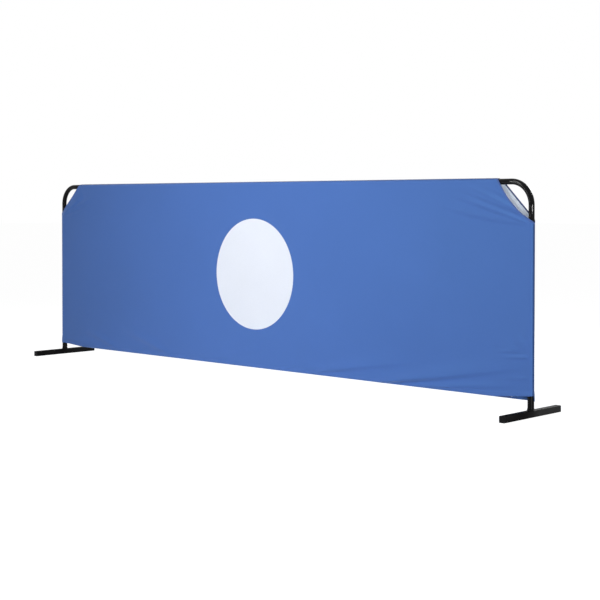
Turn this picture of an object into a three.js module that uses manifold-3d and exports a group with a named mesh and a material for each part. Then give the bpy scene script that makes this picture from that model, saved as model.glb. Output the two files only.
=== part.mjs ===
// Free-standing fabric barrier: a bent steel tube frame, a tensioned cloth cover and two swivelling feet.
// Millimetres. X runs along the barrier, the front faces -Y, +Z is up, and the floor is at Z = 0.

import * as THREE from "three";
import { mergeVertices } from "three/addons/utils/BufferGeometryUtils.js";
import Module from "manifold-3d";

const wasm = await Module();
wasm.setup();

// Frame
const barrierLength = 2330;
const barrierHeight = 700;
const tubeDiameter = 18;
const tubeWall = 1.2;
const bendRadius = 70;
const armStraight = 150;
const buttGap = 0.3;
const weldGap = 0.3;

// Sleeves and stubs inside the frame's tubes
const sleeveFit = 0.3;
const sleeveWall = 1.2;
const sleeveReach = 60;

// Screws
const screwShank = 4;
const screwHead = 7;
const screwHeadHeight = 2.4;
const screwRecess = 2.5;
const screwRecessDepth = 1.3;
const screwTipLength = 2.2;
const screwHoleFit = 0.3;
const screwSeat = 0.2;

// Feet
const footLength = 290;
const footBarSize = 20;
const footBarWall = 1.5;
const footBarCorner = 2;
const capThickness = 3;
const capInsertDepth = 12;
const capInsertWall = 2;
const capBevel = 0.8;
const capFit = 0.3;
const spigotHeight = 90;
const spigotFit = 0.3;
const spigotWall = 1.5;
const washerThickness = 2;
const washerRim = 3;
const runningGap = 0.3;
const footSwing = 90;
const stopSlack = 4;
const stopSlotFit = 0.3;
const stopTipReach = 1.2;

// Collars at the lower ends of the posts
const collarHeight = 41.7;
const collarFit = 0.15;
const collarWall = 0.75;
const collarRim = 1;
const collarRimHeight = 3;
const collarChamfer = 0.4;
const stopScrewHeight = 10;

// Cover
const clothThickness = 0.8;
const clothFit = 0.3;
const seamSlit = 0.4;
const collarTuck = 18;
const collarFlare = 1.2;
const flareRun = 16;
const flareReach = 34;
const hemDip = 8.8;
const hemDipRun = 170;
const frontHemRise = 13;
const backHemRise = 9.6;
const hemPull = 13;
const hemPullRun = 140;
const leftCutAcross = 129;
const leftCutDown = 124;
const rightCutAcross = 127;
const rightCutDown = 129;
const leftCutBow = 5;
const rightCutBow = 14.5;
const bindingWidth = 4;
const bindingThickness = 1.4;
const bindingGap = 0.3;

// Closure under the lower rail
const flapAboveHem = 1.6;
const flapThickness = 0.8;
const flapFit = 0.3;
const flapEndInset = 75;
const tapeWidth = 12;
const tapeThickness = 1;
const railAboveTape = 1;

// Folds of the front layer
const foldLift = 3.2;
const foldWidth = 26;
const cornerFoldLift = 2.2;
const cornerFoldWidth = 15;
const foldMargin = 26;

// Faceting
const tubeSides = 24;
const bendSteps = 8;
const screwSides = 10;
const wrapSteps = 4;
const cutSteps = 7;
const cutOverrun = 1;
const halvings = 24;

// Worked out from the values above
const tubeRadius = tubeDiameter / 2;
const boreRadius = tubeRadius - tubeWall;
const postPlace = barrierLength / 2 - tubeRadius;
const railHeight = barrierHeight - tubeRadius;
const postBottom = footBarSize + washerThickness + runningGap;
const armEnd = postPlace - bendRadius - armStraight;
const topRailHalf = armEnd - buttGap;
const lowerRailHalf = postPlace - tubeRadius - buttGap;
const armHolePlace = armEnd + sleeveReach / 2;
const topHolePlace = topRailHalf - sleeveReach / 2;
const lowerHolePlace = lowerRailHalf - sleeveReach / 2;
const sleeveRadius = boreRadius - sleeveFit;
const spigotRadius = boreRadius - spigotFit;
const spigotHole = spigotRadius + spigotFit;
const collarInner = tubeRadius + collarFit;
const collarTop = postBottom + collarHeight;
const stopScrewPlace = postBottom + stopScrewHeight;
const screwHole = screwShank / 2 + screwHoleFit;
const hemAtPost = collarTop - collarTuck;
const hemLow = hemAtPost - hemDip;
const flapBottom = hemLow + frontHemRise + flapAboveHem;
const lowerRailHeight = flapBottom + tapeWidth + railAboveTape + tubeRadius;
const clothInner = tubeRadius + clothFit;
const clothOuter = clothInner + clothThickness;
const quarterWrap = clothInner * Math.PI / 2 - seamSlit / 2;
const seamAcross = postPlace + quarterWrap;
const seamUp = railHeight + quarterWrap;

const steelPaint = new THREE.MeshStandardMaterial({ color: 0x101012, roughness: 0.28, metalness: 0.4 });
const barPaint = new THREE.MeshStandardMaterial({ color: 0x17171a, roughness: 0.5, metalness: 0.3 });
const blackPlastic = new THREE.MeshStandardMaterial({ color: 0x26262a, roughness: 0.6, metalness: 0 });
const washerNylon = new THREE.MeshStandardMaterial({ color: 0x2c2c30, roughness: 0.5, metalness: 0 });
const zincSteel = new THREE.MeshStandardMaterial({ color: 0xb8bcc2, roughness: 0.35, metalness: 1 });
const blueCloth = new THREE.MeshStandardMaterial({ color: 0x3f63b0, roughness: 0.9, metalness: 0 });
const navyTape = new THREE.MeshStandardMaterial({ color: 0x24356f, roughness: 0.95, metalness: 0 });

// Solids for the boolean cuts

function toManifold(geometry) {
  const plain = geometry.clone();
  for (const name of Object.keys(plain.attributes)) {
    if (name !== "position") plain.deleteAttribute(name);
  }
  const merged = mergeVertices(plain);
  return new wasm.Manifold(new wasm.Mesh({
    numProp: 3,
    vertProperties: new Float32Array(merged.attributes.position.array),
    triVerts: new Uint32Array(merged.index.array),
  }));
}

function toGeometry(manifold) {
  const mesh = manifold.getMesh();
  const geometry = new THREE.BufferGeometry();
  const places = new Float32Array(mesh.vertProperties);
  geometry.setAttribute("position", new THREE.BufferAttribute(places, mesh.numProp));
  geometry.setIndex(new THREE.BufferAttribute(new Uint32Array(mesh.triVerts), 1));
  geometry.computeVertexNormals();
  return geometry;
}

function cut(geometry, ...tools) {
  const solid = tools.reduce((rest, tool) => rest.subtract(toManifold(tool)), toManifold(geometry));
  return toGeometry(solid);
}

// A revolved piece about +Z from a closed profile of [radius, height] points, outer side upwards.
function revolved(profile, sides = tubeSides) {
  const points = profile.map(([radius, height]) => new THREE.Vector2(radius, height));
  return new THREE.LatheGeometry(points, sides).rotateX(Math.PI / 2);
}

function ring(inner, outer, low, high) {
  return revolved([[inner, low], [outer, low], [outer, high], [inner, high], [inner, low]]);
}

function rod(radius, low, high, sides = screwSides) {
  return revolved([[0, low], [radius, low], [radius, high], [0, high]], sides);
}

const alongX = (geometry) => geometry.rotateY(Math.PI / 2);
const alongY = (geometry) => geometry.rotateX(-Math.PI / 2);

const holeBelow = (place, height) => rod(screwHole, -tubeDiameter, 0).translate(place, 0, height);

// Bent tube: a path that takes one step along each straight and equal steps round the bend

class StationPath extends THREE.Curve {
  constructor(stations) {
    super();
    this.stations = stations;
  }

  station(share) {
    return this.stations[Math.round(share * (this.stations.length - 1))];
  }

  getPointAt(share) {
    return this.station(share).point.clone();
  }

  getTangentAt(share) {
    return this.station(share).tangent.clone();
  }
}

function uprightPath(side) {
  const up = new THREE.Vector3(0, 0, 1);
  const inward = new THREE.Vector3(-side, 0, 0);
  const centre = new THREE.Vector3(side * (postPlace - bendRadius), 0, railHeight - bendRadius);
  const stations = [{ point: new THREE.Vector3(side * postPlace, 0, postBottom), tangent: up }];
  for (let step = 0; step <= bendSteps; step += 1) {
    const angle = step / bendSteps * Math.PI / 2;
    const point = centre.clone()
      .addScaledVector(inward, -bendRadius * Math.cos(angle))
      .addScaledVector(up, bendRadius * Math.sin(angle));
    const tangent = up.clone().multiplyScalar(Math.cos(angle)).addScaledVector(inward, Math.sin(angle));
    stations.push({ point, tangent });
  }
  stations.push({ point: new THREE.Vector3(side * armEnd, 0, railHeight), tangent: inward });
  return new StationPath(stations);
}

function tubeSection(outer, inner) {
  const section = new THREE.Shape().absarc(0, 0, outer, 0, 2 * Math.PI, false);
  section.holes.push(new THREE.Path().absarc(0, 0, inner, 0, 2 * Math.PI, true));
  return section;
}

function upright(side) {
  const path = uprightPath(side);
  const tube = new THREE.ExtrudeGeometry(tubeSection(tubeRadius, boreRadius), {
    steps: path.stations.length - 1,
    curveSegments: tubeSides / 2,
    extrudePath: path,
    bevelEnabled: false,
  });
  const stopHole = alongY(rod(screwHole, 0, tubeDiameter)).translate(side * postPlace, 0, stopScrewPlace);
  return cut(tube, stopHole, holeBelow(side * armHolePlace, railHeight));
}

// A tube along X between two places, with screw holes through its lower wall.
function levelTube(inner, outer, [from, to], height, holePlaces) {
  const tube = alongX(ring(inner, outer, Math.min(from, to), Math.max(from, to))).translate(0, 0, height);
  return cut(tube, ...holePlaces.map((place) => holeBelow(place, height)));
}

function rail(half, holePlace, height) {
  return levelTube(boreRadius, tubeRadius, [-half, half], height, [-holePlace, holePlace]);
}

function topConnector(side) {
  const ends = [side * (armEnd - sleeveReach), side * (armEnd + sleeveReach)];
  const holes = [side * armHolePlace, side * topHolePlace];
  return levelTube(sleeveRadius - sleeveWall, sleeveRadius, ends, railHeight, holes);
}

// The stub's end is coped to the post that it is welded to.
function lowerConnector(side) {
  const ends = [side * postPlace, side * (lowerRailHalf - sleeveReach)];
  const holes = [side * lowerHolePlace];
  const stub = levelTube(sleeveRadius - sleeveWall, sleeveRadius, ends, lowerRailHeight, holes);
  const post = rod(tubeRadius + weldGap, 0, barrierHeight, tubeSides).translate(side * postPlace, 0, 0);
  return cut(stub, post);
}

// A pan-head screw along +Z: its head's seat is at zero and its shank hangs below.
function panScrew(shankLength) {
  const radius = screwShank / 2;
  const head = screwHead / 2;
  const crownShares = [[1, 0.45], [0.86, 0.8], [0.6, 1]];
  const body = revolved([
    [0, -shankLength],
    [radius / 2, -shankLength],
    [radius, -shankLength + screwTipLength / 2],
    [radius, 0],
    [head, 0],
    ...crownShares.map(([across, up]) => [head * across, screwHeadHeight * up]),
    [0, screwHeadHeight],
  ], screwSides);
  const recess = new THREE.CylinderGeometry(screwRecess / 2, screwRecess / 2, 2 * screwRecessDepth, 6)
    .rotateX(Math.PI / 2).translate(0, 0, screwHeadHeight);
  return cut(body, recess);
}

const jointScrewLength = tubeWall + sleeveFit + sleeveWall + screwTipLength;

function jointScrew(place, height) {
  return panScrew(jointScrewLength).rotateX(Math.PI).translate(place, 0, height - tubeRadius - screwSeat);
}

// Feet: each is modelled about its post's axis and then set at the post's place

const footBarHalf = footLength / 2 - capThickness;

function roundedSquare(size, corner) {
  const half = size / 2;
  const near = half - corner;
  return new THREE.Shape()
    .absarc(near, near, corner, 0, Math.PI / 2, false)
    .absarc(-near, near, corner, Math.PI / 2, Math.PI, false)
    .absarc(-near, -near, corner, Math.PI, Math.PI * 1.5, false)
    .absarc(near, -near, corner, Math.PI * 1.5, Math.PI * 2, false);
}

function footBar() {
  const section = roundedSquare(footBarSize, footBarCorner);
  const insideCorner = footBarCorner / 2;
  section.holes.push(roundedSquare(footBarSize - 2 * footBarWall, insideCorner));
  const bar = new THREE.ExtrudeGeometry(section, {
    depth: 2 * footBarHalf,
    curveSegments: 2,
    bevelEnabled: false,
  }).translate(0, 0, -footBarHalf);
  const seat = rod(spigotHole, footBarSize / 2, footBarSize + cutOverrun, tubeSides);
  return cut(alongY(bar).translate(0, 0, footBarSize / 2), seat);
}

// The tube that the post turns on, with the half-turn slot for the stop screw's tip facing the back.
function spigot() {
  const bottom = footBarWall + spigotFit;
  const tube = ring(spigotRadius - spigotWall, spigotRadius, bottom, footBarSize + spigotHeight);
  const tipAngle = Math.asin(screwHole / spigotRadius);
  const half = THREE.MathUtils.degToRad(footSwing + stopSlack) + tipAngle;
  const start = Math.PI / 2 - half;
  const wedge = new THREE.Shape()
    .moveTo(0, 0)
    .lineTo(tubeDiameter * Math.cos(start), tubeDiameter * Math.sin(start))
    .absarc(0, 0, tubeDiameter, start, Math.PI - start, false);
  const slotHalf = screwHole + stopSlotFit;
  const slot = new THREE.ExtrudeGeometry(wedge, {
    depth: 2 * slotHalf,
    curveSegments: tubeSides,
    bevelEnabled: false,
  }).translate(0, 0, stopScrewPlace - slotHalf);
  return cut(tube, slot);
}

// A moulded plug: a flange as large as the bar and a hollow insert that the bar's walls hold.
function endCap(facing) {
  const insertSize = footBarSize - 2 * footBarWall - 2 * capFit;
  const face = roundedSquare(footBarSize - 2 * capBevel, footBarCorner - capBevel);
  const flange = new THREE.ExtrudeGeometry(face, {
    depth: capThickness - 2 * capBevel,
    curveSegments: 2,
    bevelThickness: capBevel,
    bevelSize: capBevel,
    bevelSegments: 1,
  }).translate(0, 0, capBevel);
  const insertShape = roundedSquare(insertSize, capInsertWall / 2);
  insertShape.holes.push(roundedSquare(insertSize - 2 * capInsertWall, capInsertWall / 4));
  const insert = new THREE.ExtrudeGeometry(insertShape, {
    depth: capInsertDepth + capBevel,
    curveSegments: 1,
    bevelEnabled: false,
  }).translate(0, 0, -capInsertDepth);
  const cap = toGeometry(toManifold(flange).add(toManifold(insert)));
  const level = alongY(cap).translate(0, footBarHalf, footBarSize / 2);
  return facing > 0 ? level : level.rotateZ(Math.PI);
}

function washer() {
  const outer = tubeRadius + washerRim;
  const chamfer = washerThickness / 2;
  return revolved([
    [spigotHole, 0],
    [outer, 0],
    [outer, washerThickness - chamfer],
    [outer - chamfer, washerThickness],
    [spigotHole, washerThickness],
    [spigotHole, 0],
  ]).translate(0, 0, footBarSize);
}

function collar() {
  const outer = collarInner + collarWall;
  const rim = outer + collarRim;
  const body = revolved([
    [collarInner, 0],
    [rim - collarChamfer, 0],
    [rim, collarChamfer],
    [rim, collarRimHeight],
    [outer, collarRimHeight + collarRim],
    [outer, collarHeight - collarChamfer],
    [outer - collarChamfer, collarHeight],
    [collarInner, collarHeight],
    [collarInner, 0],
  ]).translate(0, 0, postBottom);
  return cut(body, alongY(rod(screwHole, 0, tubeDiameter)).translate(0, 0, stopScrewPlace));
}

function stopScrew() {
  const seat = collarInner + collarWall + screwSeat;
  const shank = seat - (spigotRadius - stopTipReach);
  return alongY(panScrew(shank)).translate(0, seat, stopScrewPlace);
}

// Cover: every point is given by its developed place across and up the cloth

function wrapped(coordinate, tangentAt, radius) {
  const past = Math.abs(coordinate) - tangentAt;
  if (past <= 0) return { place: coordinate, depth: radius };
  const angle = past / clothInner;
  const reach = tangentAt + radius * Math.sin(angle);
  return { place: Math.sign(coordinate) * reach, depth: radius * Math.cos(angle) };
}

const smooth = (share) => {
  const held = Math.min(Math.max(share, 0), 1);
  return held * held * (3 - 2 * held);
};

// Near the hem the cloth stands a little wider at each post, because it passes over the collar there.
function flareAt(across, up) {
  const beside = smooth((Math.abs(across) - postPlace + flareReach) / (flareReach - tubeRadius));
  return collarFlare * beside * (1 - smooth((up - collarTop) / flareRun));
}

// facing is -1 for the front layer and 1 for the back; layer is the distance from the tubes' axes.
function clothPoint(across, up, facing, layer, lift = 0) {
  const radius = layer + flareAt(across, up);
  const side = wrapped(across, postPlace, radius);
  const top = wrapped(up, railHeight, radius);
  const depth = Math.min(side.depth, top.depth) + lift;
  return new THREE.Vector3(side.place, facing * depth, top.place);
}

// The hem rises a little from left to right and is drawn up where it meets the posts.
function hemHeight(across, facing) {
  const fromLeft = Math.max(across + barrierLength / 2, 0);
  const fromRight = Math.max(barrierLength / 2 - across, 0);
  const rise = facing < 0 ? frontHemRise : backHemRise;
  const level = hemLow + rise * fromLeft / barrierLength;
  const leftDraw = hemDip * (1 - smooth(fromLeft / hemDipRun));
  const rightDraw = facing < 0 ? hemPull * Math.max(1 - fromRight / hemPullRun, 0) ** 1.15 : 0;
  return level + leftDraw + rightDraw;
}

// A corner's cut edge, set back towards the panel. It runs from the top seam to the seam outside the post.
function cornerCut(side, facing, setBack) {
  const [reach, drop] = side > 0 ? [rightCutAcross, rightCutDown] : [leftCutAcross, leftCutDown];
  const corner = new THREE.Vector2(side * seamAcross, seamUp);
  const along = seamAcross - (barrierLength / 2 - reach);
  const down = seamUp - (barrierHeight - drop);
  const slant = setBack * Math.hypot(1 / along, 1 / down);
  const start = corner.clone().add(new THREE.Vector2(-side * along * (1 + slant), 0));
  const end = corner.clone().add(new THREE.Vector2(0, -down * (1 + slant)));
  const inward = new THREE.Vector2(-side * down, -along).normalize();
  const frontBow = side > 0 ? rightCutBow : leftCutBow;
  const bowAt = (share) => (facing < 0 ? frontBow * Math.sin(Math.PI * share) : 0);
  return (share) => start.clone().lerp(end, share).addScaledVector(inward, bowAt(share));
}

// Soft ridge along a straight line between two places, fading to both ends.
function ridge(across, up, [fromX, fromZ, toX, toZ], width) {
  const run = new THREE.Vector2(toX - fromX, toZ - fromZ);
  const offset = new THREE.Vector2(across - fromX, up - fromZ);
  const share = offset.dot(run) / run.lengthSq();
  if (share <= 0 || share >= 1) return 0;
  const away = Math.abs(offset.cross(run)) / run.length() / width;
  return Math.sin(Math.PI * share) * Math.exp(-away * away);
}

// Each drag fold runs between two places: shares of half the length from the middle, and of the height.
const longFoldShares = [
  [0.28, 0.095, 0.58, 0.18],
  [0.47, 0.095, 0.985, 0.23],
  [-0.4, 0.095, -0.63, 0.175],
  [-0.985, 0.14, -0.72, 0.07],
];
const cornerFoldShares = [
  [0.98, 0.85, 0.8, 0.955],
  [0.98, 0.845, 0.75, 0.925],
  [0.98, 0.84, 0.71, 0.885],
  [-0.98, 0.86, -0.85, 0.955],
  [-0.985, 0.84, -0.82, 0.915],
];
const foldLine = ([fromX, fromZ, toX, toZ]) => [
  barrierLength / 2 * fromX, barrierHeight * fromZ, barrierLength / 2 * toX, barrierHeight * toZ,
];

function foldsAt(across, up) {
  let lift = 0;
  for (const shares of longFoldShares) lift += foldLift * ridge(across, up, foldLine(shares), foldWidth);
  for (const shares of cornerFoldShares) {
    lift += cornerFoldLift * ridge(across, up, foldLine(shares), cornerFoldWidth);
  }
  const sideFree = smooth((postPlace - Math.abs(across)) / foldMargin);
  const topFree = smooth((railHeight - up) / foldMargin);
  return lift * sideFree * topFree;
}

// A closed sheet from a grid of outer and inner points. Each quad is split along its shorter diagonal.
function closedSheet(columns, rows, pointAt) {
  const points = [];
  const index = [];
  for (const face of [0, 1]) {
    for (let column = 0; column < columns; column += 1) {
      for (let row = 0; row < rows; row += 1) points.push(pointAt(column, row, face));
    }
  }
  const at = (column, row, face) => (face * columns + column) * rows + row;
  const top = rows - 1;
  const end = columns - 1;
  const quad = (a, b, c, d) => {
    if (points[a].distanceTo(points[c]) < points[b].distanceTo(points[d])) index.push(a, b, c, a, c, d);
    else index.push(b, c, d, b, d, a);
  };
  for (let column = 1; column < columns; column += 1) {
    for (let row = 1; row < rows; row += 1) {
      quad(at(column - 1, row - 1, 0), at(column, row - 1, 0), at(column, row, 0), at(column - 1, row, 0));
      quad(at(column - 1, row, 1), at(column, row, 1), at(column, row - 1, 1), at(column - 1, row - 1, 1));
    }
    quad(at(column - 1, 0, 1), at(column, 0, 1), at(column, 0, 0), at(column - 1, 0, 0));
    quad(at(column - 1, top, 0), at(column, top, 0), at(column, top, 1), at(column - 1, top, 1));
  }
  for (let row = 1; row < rows; row += 1) {
    quad(at(0, row - 1, 1), at(0, row - 1, 0), at(0, row, 0), at(0, row, 1));
    quad(at(end, row - 1, 0), at(end, row - 1, 1), at(end, row, 1), at(end, row, 0));
  }
  const geometry = new THREE.BufferGeometry();
  const places = points.flatMap((point) => point.toArray());
  geometry.setAttribute("position", new THREE.Float32BufferAttribute(places, 3));
  geometry.setIndex(index);
  geometry.computeVertexNormals();
  return geometry;
}

// The share along a cut edge at which a rising measure of its point passes zero.
function findShare(cutEdge, measure) {
  let low = 0;
  let high = 1;
  for (let turn = 0; turn < halvings; turn += 1) {
    const middle = (low + high) / 2;
    if (measure(cutEdge(middle)) < 0) low = middle;
    else high = middle;
  }
  return low;
}

// Shares along a cut edge: close together where it turns over the rail and round the post.
function cutShares(cutEdge) {
  const atRail = findShare(cutEdge, (point) => railHeight - point.y);
  const atPost = findShare(cutEdge, (point) => Math.abs(point.x) - postPlace);
  const shares = [];
  for (const [from, to, steps] of [[0, atRail, wrapSteps], [atRail, atPost, cutSteps], [atPost, 1, wrapSteps]]) {
    for (let step = 0; step < steps; step += 1) shares.push(from + (to - from) * step / steps);
  }
  return [...shares, 1];
}

// Columns of one layer from the left seam to the right seam: each has its place across and its top edge.
const middleColumnShares = [
  0.04, 0.09, 0.15, 0.22, 0.28, 0.37, 0.5, 0.59, 0.64, 0.69, 0.73, 0.77, 0.81, 0.85, 0.89, 0.93, 0.965,
];

function coverColumns(facing) {
  const edge = (side) => {
    const cutEdge = cornerCut(side, facing, bindingWidth + bindingGap);
    return cutShares(cutEdge).map((share) => cutEdge(share));
  };
  const left = edge(-1).reverse();
  const right = edge(1);
  const middle = middleColumnShares.map((share) => left[left.length - 1].clone().lerp(right[0], share));
  return [...left, ...middle, ...right];
}

const bodyRowShares = [0, 0.035, 0.075, 0.12, 0.165, 0.21, 0.3, 0.45, 0.62, 0.76, 0.86, 0.94];

function coverLayer(facing) {
  const columns = coverColumns(facing);
  const rows = bodyRowShares.length + wrapSteps + 1;
  return closedSheet(columns.length, rows, (column, row, face) => {
    const place = columns[facing < 0 ? column : columns.length - 1 - column];
    const hem = hemHeight(place.x, facing);
    const bodyTop = place.y - quarterWrap;
    const up = row < bodyRowShares.length
      ? hem + (bodyTop - hem) * bodyRowShares[row]
      : bodyTop + quarterWrap * (row - bodyRowShares.length) / wrapSteps;
    const lift = facing < 0 ? foldsAt(place.x, up) : 0;
    return clothPoint(place.x, up, facing, face === 0 ? clothOuter : clothInner, lift);
  });
}

// A bound edge that finishes each cut corner, a little thicker than the cloth.
function binding(side, facing) {
  const edges = [cornerCut(side, facing, bindingWidth), cornerCut(side, facing, 0)];
  const shares = cutShares(edges[1]);
  if (side * facing > 0) shares.reverse();
  return closedSheet(shares.length, 2, (column, row, face) => {
    const place = edges[row](shares[column]);
    return clothPoint(place.x, place.y, facing, face === 0 ? clothInner + bindingThickness : clothInner);
  });
}

// Closure: a strip from the back layer leads under the lower rail and holds the front layer by its tapes

const flapHalf = barrierLength / 2 - flapEndInset;
const flapBack = clothInner - flapFit;
const tapeFront = clothInner - flapFit;
const hookBack = tapeFront - 2 * tapeThickness;

function stripBetween(outline, half) {
  const shape = new THREE.Shape(outline.map(([depth, height]) => new THREE.Vector2(depth, height)));
  return new THREE.ExtrudeGeometry(shape, { depth: 2 * half, bevelEnabled: false })
    .rotateX(Math.PI / 2).rotateZ(Math.PI / 2).translate(-half, 0, 0);
}

function closingFlap() {
  const top = flapBottom + tapeWidth;
  const inside = flapBottom + flapThickness;
  return stripBetween([
    [-hookBack, flapBottom],
    [flapBack, flapBottom],
    [flapBack, top],
    [flapBack - flapThickness, top],
    [flapBack - flapThickness, inside],
    [-hookBack + flapThickness, inside],
    [-hookBack + flapThickness, top],
    [-hookBack, top],
  ], flapHalf);
}

function tape(outer) {
  return stripBetween([
    [-outer, flapBottom],
    [-outer + tapeThickness, flapBottom],
    [-outer + tapeThickness, flapBottom + tapeWidth],
    [-outer, flapBottom + tapeWidth],
  ], flapHalf);
}

// Assembly

const barrier = new THREE.Group();

function add(parent, name, geometry, material) {
  const mesh = new THREE.Mesh(geometry, material);
  mesh.name = name;
  parent.add(mesh);
}

add(barrier, "top_rail", rail(topRailHalf, topHolePlace, railHeight), steelPaint);
add(barrier, "lower_rail", rail(lowerRailHalf, lowerHolePlace, lowerRailHeight), steelPaint);

for (const [hand, side] of [["left", -1], ["right", 1]]) {
  add(barrier, `${hand}_upright`, upright(side), steelPaint);
  add(barrier, `${hand}_top_connector`, topConnector(side), zincSteel);
  add(barrier, `${hand}_lower_connector`, lowerConnector(side), zincSteel);
  add(barrier, `${hand}_arm_screw`, jointScrew(side * armHolePlace, railHeight), zincSteel);
  add(barrier, `${hand}_rail_screw`, jointScrew(side * topHolePlace, railHeight), zincSteel);
  add(barrier, `${hand}_lower_screw`, jointScrew(side * lowerHolePlace, lowerRailHeight), zincSteel);

  const foot = new THREE.Group();
  foot.position.set(side * postPlace, 0, 0);
  barrier.add(foot);
  add(foot, `${hand}_collar`, collar(), blackPlastic);
  add(foot, `${hand}_stop_screw`, stopScrew(), zincSteel);
  add(foot, `${hand}_foot_bar`, footBar(), barPaint);
  add(foot, `${hand}_foot_spigot`, spigot(), zincSteel);
  add(foot, `${hand}_foot_washer`, washer(), washerNylon);
  add(foot, `${hand}_front_cap`, endCap(-1), blackPlastic);
  add(foot, `${hand}_back_cap`, endCap(1), blackPlastic);

  add(barrier, `${hand}_front_binding`, binding(side, -1), navyTape);
  add(barrier, `${hand}_back_binding`, binding(side, 1), navyTape);
}

add(barrier, "cover_front", coverLayer(-1), blueCloth);
add(barrier, "cover_back", coverLayer(1), blueCloth);
add(barrier, "closing_flap", closingFlap(), blueCloth);
add(barrier, "loop_tape", tape(tapeFront), navyTape);
add(barrier, "hook_tape", tape(tapeFront - tapeThickness), navyTape);

export default barrier;
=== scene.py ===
import math

import bmesh
import bpy
import numpy as np
from mathutils import Matrix, Vector

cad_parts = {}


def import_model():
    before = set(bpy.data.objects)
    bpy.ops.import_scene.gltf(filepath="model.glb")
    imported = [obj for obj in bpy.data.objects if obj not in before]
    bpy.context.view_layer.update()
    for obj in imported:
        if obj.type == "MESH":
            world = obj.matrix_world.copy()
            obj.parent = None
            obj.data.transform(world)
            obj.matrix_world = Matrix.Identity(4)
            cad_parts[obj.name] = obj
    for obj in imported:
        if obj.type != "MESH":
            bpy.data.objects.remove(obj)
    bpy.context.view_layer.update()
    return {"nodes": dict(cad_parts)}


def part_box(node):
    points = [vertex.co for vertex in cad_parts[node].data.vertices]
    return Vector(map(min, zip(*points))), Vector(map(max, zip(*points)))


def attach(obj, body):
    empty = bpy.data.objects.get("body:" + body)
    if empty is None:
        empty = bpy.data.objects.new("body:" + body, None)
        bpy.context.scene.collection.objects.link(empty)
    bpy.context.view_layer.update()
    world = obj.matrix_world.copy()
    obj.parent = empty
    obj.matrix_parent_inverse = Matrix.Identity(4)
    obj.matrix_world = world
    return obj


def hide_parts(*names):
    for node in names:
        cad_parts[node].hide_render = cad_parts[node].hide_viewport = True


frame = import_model()

# The whole model is in metres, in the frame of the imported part. MM turns millimetres into metres.
MM = 0.001

# Tube frame
BARRIER_LENGTH = 2330 * MM
BARRIER_HEIGHT = 700 * MM
TUBE_RADIUS = 9 * MM
TUBE_WALL = 1.2 * MM
BEND_RADIUS = 70 * MM
ARM_STRAIGHT = 150 * MM
POST_PLACE = BARRIER_LENGTH / 2 - TUBE_RADIUS
RAIL_HEIGHT = BARRIER_HEIGHT - TUBE_RADIUS
TUBE_SIDES = 48
BEND_STEPS = 28

# Cover
CLOTH_THICKNESS = 0.8 * MM
CLOTH_PLAY = 0.3 * MM
CLOTH_INNER = TUBE_RADIUS + CLOTH_PLAY
CLOTH_OUTER = CLOTH_INNER + CLOTH_THICKNESS
SEAM_SLIT = 0.16 * MM
QUARTER_WRAP = CLOTH_INNER * math.pi / 2 - SEAM_SLIT / 2
SEAM_ACROSS = POST_PLACE + QUARTER_WRAP
SEAM_UP = RAIL_HEIGHT + QUARTER_WRAP
COLLAR_TOP = 64 * MM
COLLAR_FLARE = 1.2 * MM
FLARE_RUN = 16 * MM
FLARE_REACH = 34 * MM
HEM_AT_POST = 46 * MM
HEM_DIP = 8.8 * MM
HEM_DIP_RUN = 170 * MM
HEM_RISE = {-1: 13 * MM, 1: 9.6 * MM}
HEM_PULL = 13 * MM
HEM_PULL_RUN = 140 * MM
HEM_PULL_CURVE = 1.15
CORNER_CUTS = {-1: (129 * MM, 124 * MM), 1: (127 * MM, 129 * MM)}
FRONT_CUT_BOW = {-1: 5 * MM, 1: 14.5 * MM}
TAPE_WIDTH = 4 * MM
TAPE_THICKNESS = 1.4 * MM
TAPE_LAP = 0.7 * MM
HEM_BAND = 12 * MM
HEM_BAND_FADE = 2 * MM
HEM_PROUD = 0.45 * MM
HEM_EDGE_RUN = 1.2 * MM
HEM_EDGE_START = 0.3
HEM_ROLL = 1.3 * MM
HEM_ROLL_HEIGHT = 3.2 * MM
STITCH_INSET = 2 * MM
STITCH_DENT = 0.22 * MM
STITCH_DENT_WIDTH = 0.7 * MM

# Rows and columns of the cloth, closest together where it turns and folds
WRAP_STEPS = 8
FINE_STEP = 3.6 * MM
COARSE_STEP = 15 * MM
FINE_RUN = 340 * MM
HEM_ROWS = [d * MM for d in (0, 0.7, 1.6, 3, 5, 7.2, 9, 9.8, 10.6, 11.4, 12.2, 13.2, 15, 18, 22)]
FINE_ROWS_BELOW = 130 * MM
FINE_ROWS_ABOVE = 120 * MM
EDGE_SAMPLES = 400

# How near counts as the same, for developed places of the cloth and for points of a mesh
SAME_PLACE = 1e-6
PLACE_DIGITS = 7
SAME_POINT = 0.01 * MM

# Colours of the cloth: its dyed face, its inside and the printed roundel
BLUE = (0.080, 0.172, 0.50, 1)
PALE_BLUE = (0.65, 0.74, 1.0, 1)
PRINT_WHITE = (0.87, 0.91, 1.0, 1)

# Finishes

# Sockets of a mix node: its factor, its two colours and the mixed colour, and its two plain numbers
MIX_SHARE, MIX_FIRST, MIX_SECOND, MIX_COLOUR = 0, 6, 7, 2
MIX_LOW, MIX_HIGH = 2, 3


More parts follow.
